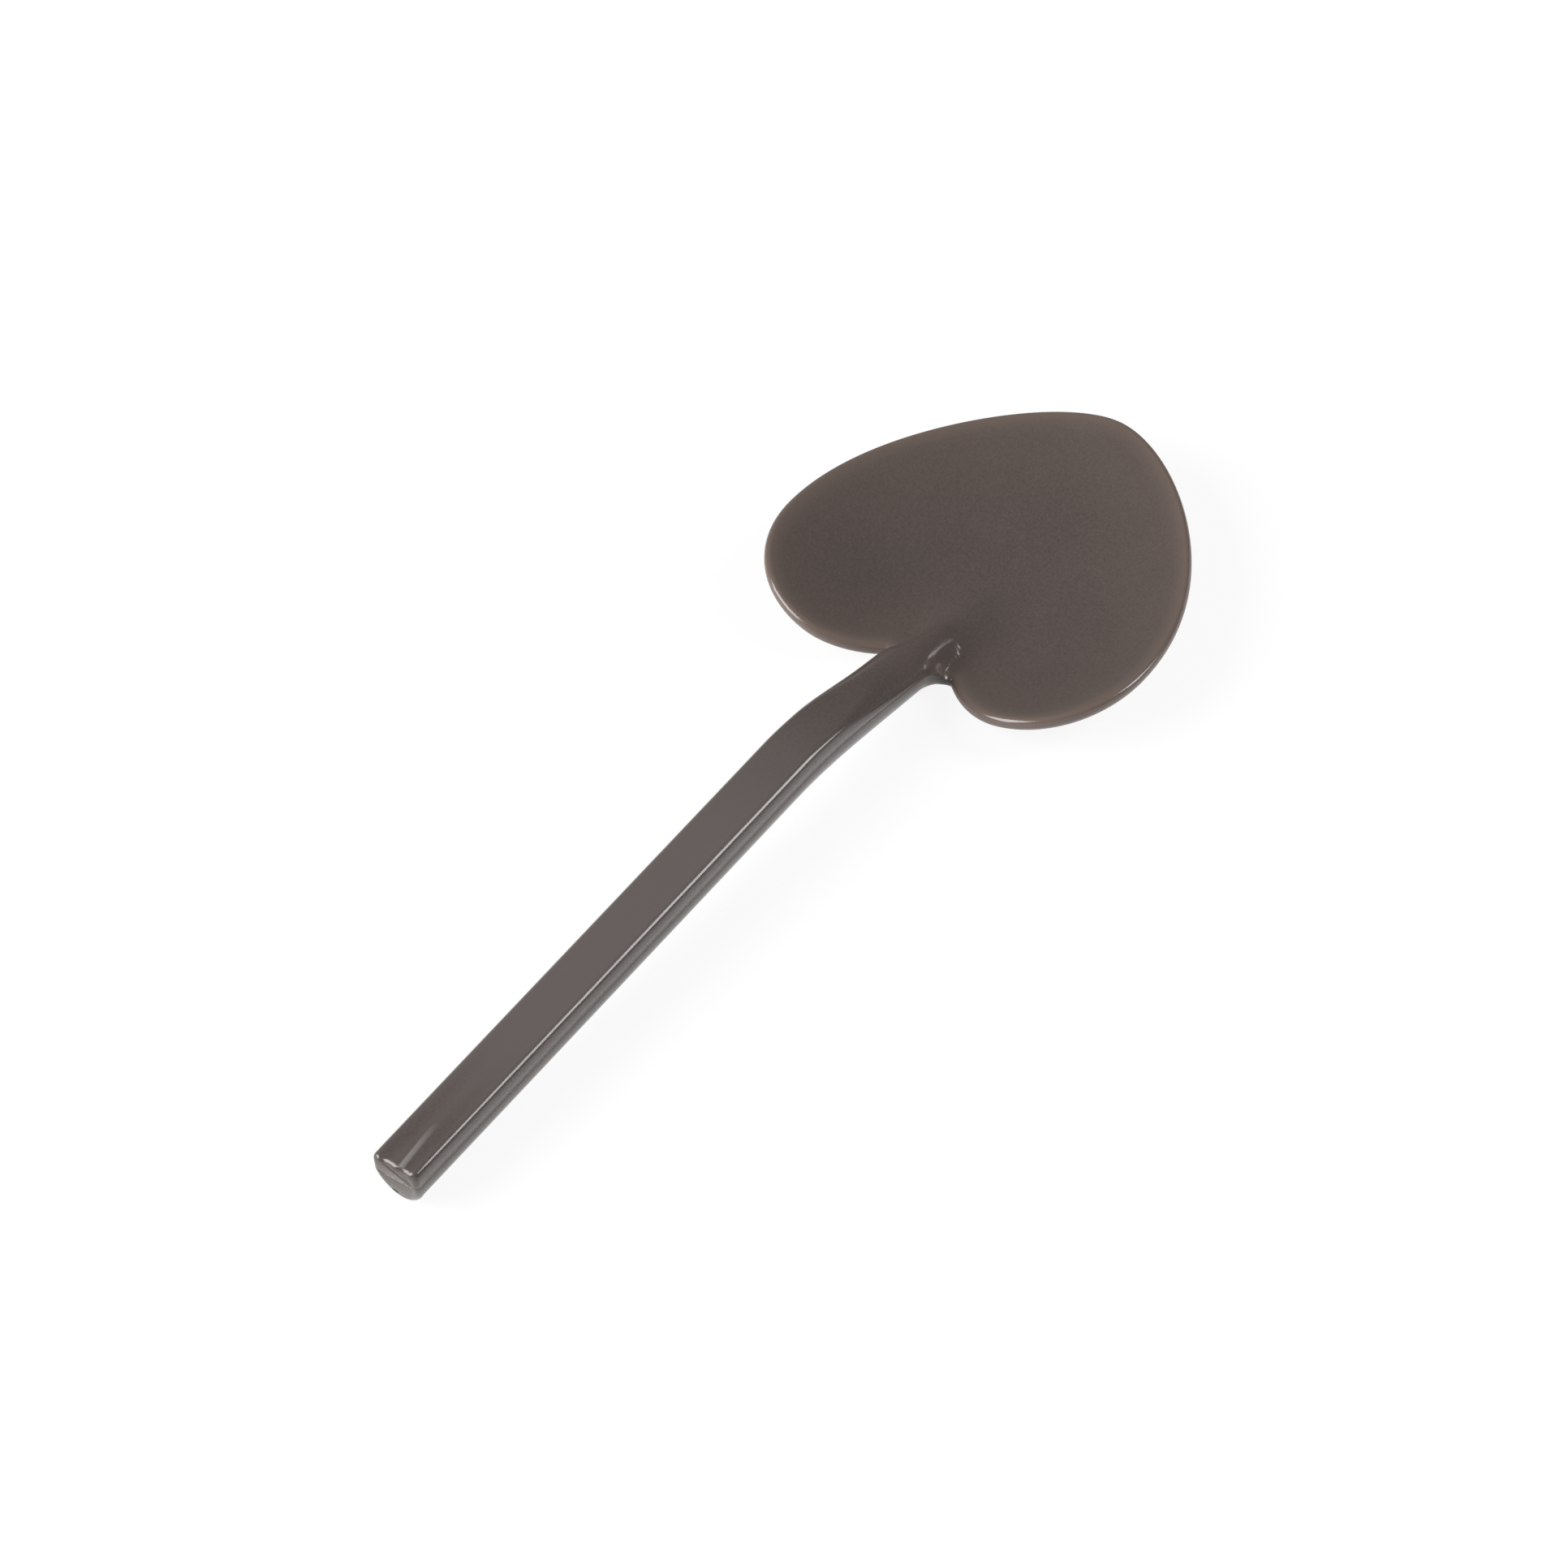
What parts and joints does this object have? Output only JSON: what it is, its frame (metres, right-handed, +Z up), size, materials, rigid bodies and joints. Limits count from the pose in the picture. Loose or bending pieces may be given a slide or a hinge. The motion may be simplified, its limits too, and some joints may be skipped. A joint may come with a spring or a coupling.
{
  "type": "amuse bouche spoon",
  "caption": "Tasting spoon moulded in one piece: a heart shaped shallow bowl on a thick bar handle that bends down into the bowl's notch and fades out as a ridge.",
  "frame": {"origin": "middle of the footprint, on the table that the spoon lies on", "axes": "+X along the handle, toward the tip of the heart; +Y to the left when facing the tip; +Z up from the table"},
  "size_m": [0.128, 0.0448, 0.0091],
  "materials": {
    "spoon": "glossy injection moulded plastic, warm taupe"
  },
  "bodies": {
    "root": {"spoon": "spoon"}
  },
  "joints": []
}
